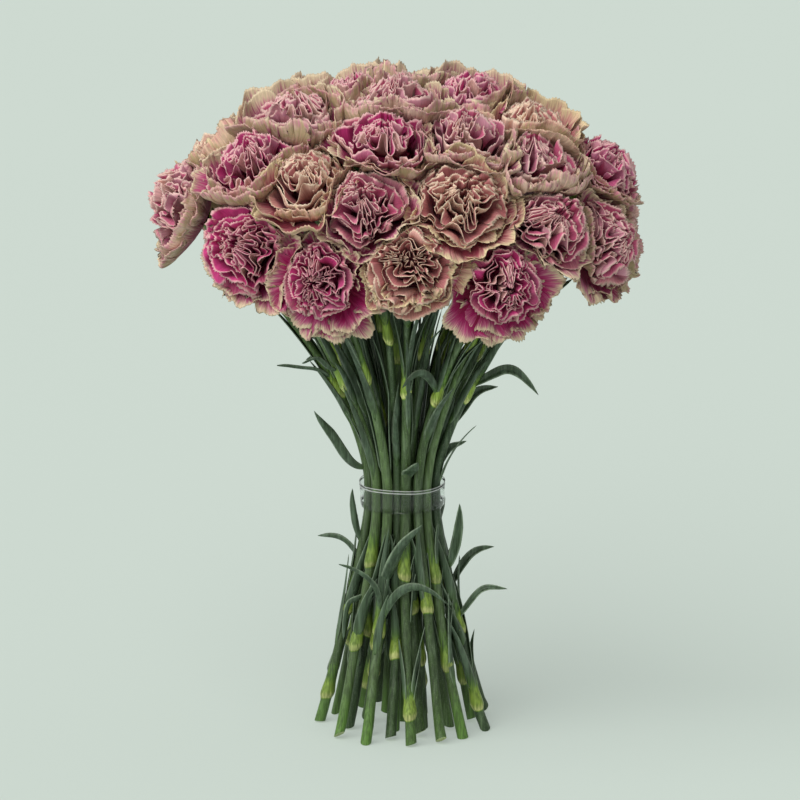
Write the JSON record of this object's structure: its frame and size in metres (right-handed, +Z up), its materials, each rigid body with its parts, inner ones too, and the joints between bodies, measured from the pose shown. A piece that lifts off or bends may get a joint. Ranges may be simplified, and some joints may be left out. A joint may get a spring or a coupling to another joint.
{
  "type": "bunch of carnations",
  "caption": "Bunch of carnations on bare stems with a few narrow leaves, held round the waist by a clear tie; it stands on its cut ends.",
  "frame": {"origin": "on the surface that the cut stem ends stand on, under the middle of the bunch", "axes": "+Z up along the bunch from the cut ends to the flowers, +X to the viewer's right, the viewer at -Y"},
  "size_m": [0.3312, 0.2382, 0.4593],
  "materials": {
    "magenta": "soft magenta petals with fine cream edges",
    "rose": "soft dusty rose petals with fine cream edges",
    "tan": "soft tan pink petals with fine cream edges",
    "stem": "green stem, calyx and leaves with a dull waxy bloom",
    "tie": "clear glossy tape"
  },
  "bodies": {
    "root": {"bloom_01": "rose", "bloom_02": "magenta", "bloom_03": "magenta", "bloom_04": "tan", "bloom_05": "magenta", "bloom_06": "rose", "bloom_07": "rose", "bloom_08": "magenta", "bloom_09": "rose", "bloom_10": "tan", "bloom_11": "magenta", "bloom_12": "rose", "bloom_13": "rose", "bloom_14": "magenta", "bloom_15": "rose", "bloom_16": "rose", "bloom_17": "magenta", "bloom_18": "tan", "bloom_19": "tan", "bloom_20": "magenta", "bloom_21": "rose", "bloom_22": "tan", "bloom_23": "rose", "bloom_24": "rose", "bloom_25": "magenta", "bloom_26": "tan", "bloom_27": "rose", "bloom_28": "rose", "bloom_29": "magenta", "stem_01": "stem", "stem_02": "stem", "stem_03": "stem", "stem_04": "stem", "stem_05": "stem", "stem_06": "stem", "stem_07": "stem", "stem_08": "stem", "stem_09": "stem", "stem_10": "stem", "stem_11": "stem", "stem_12": "stem", "stem_13": "stem", "stem_14": "stem", "stem_15": "stem", "stem_16": "stem", "stem_17": "stem", "stem_18": "stem", "stem_19": "stem", "stem_20": "stem", "stem_21": "stem", "stem_22": "stem", "stem_23": "stem", "stem_24": "stem", "stem_25": "stem", "stem_26": "stem", "stem_27": "stem", "stem_28": "stem", "stem_29": "stem", "tie": "tie"}
  },
  "joints": []
}
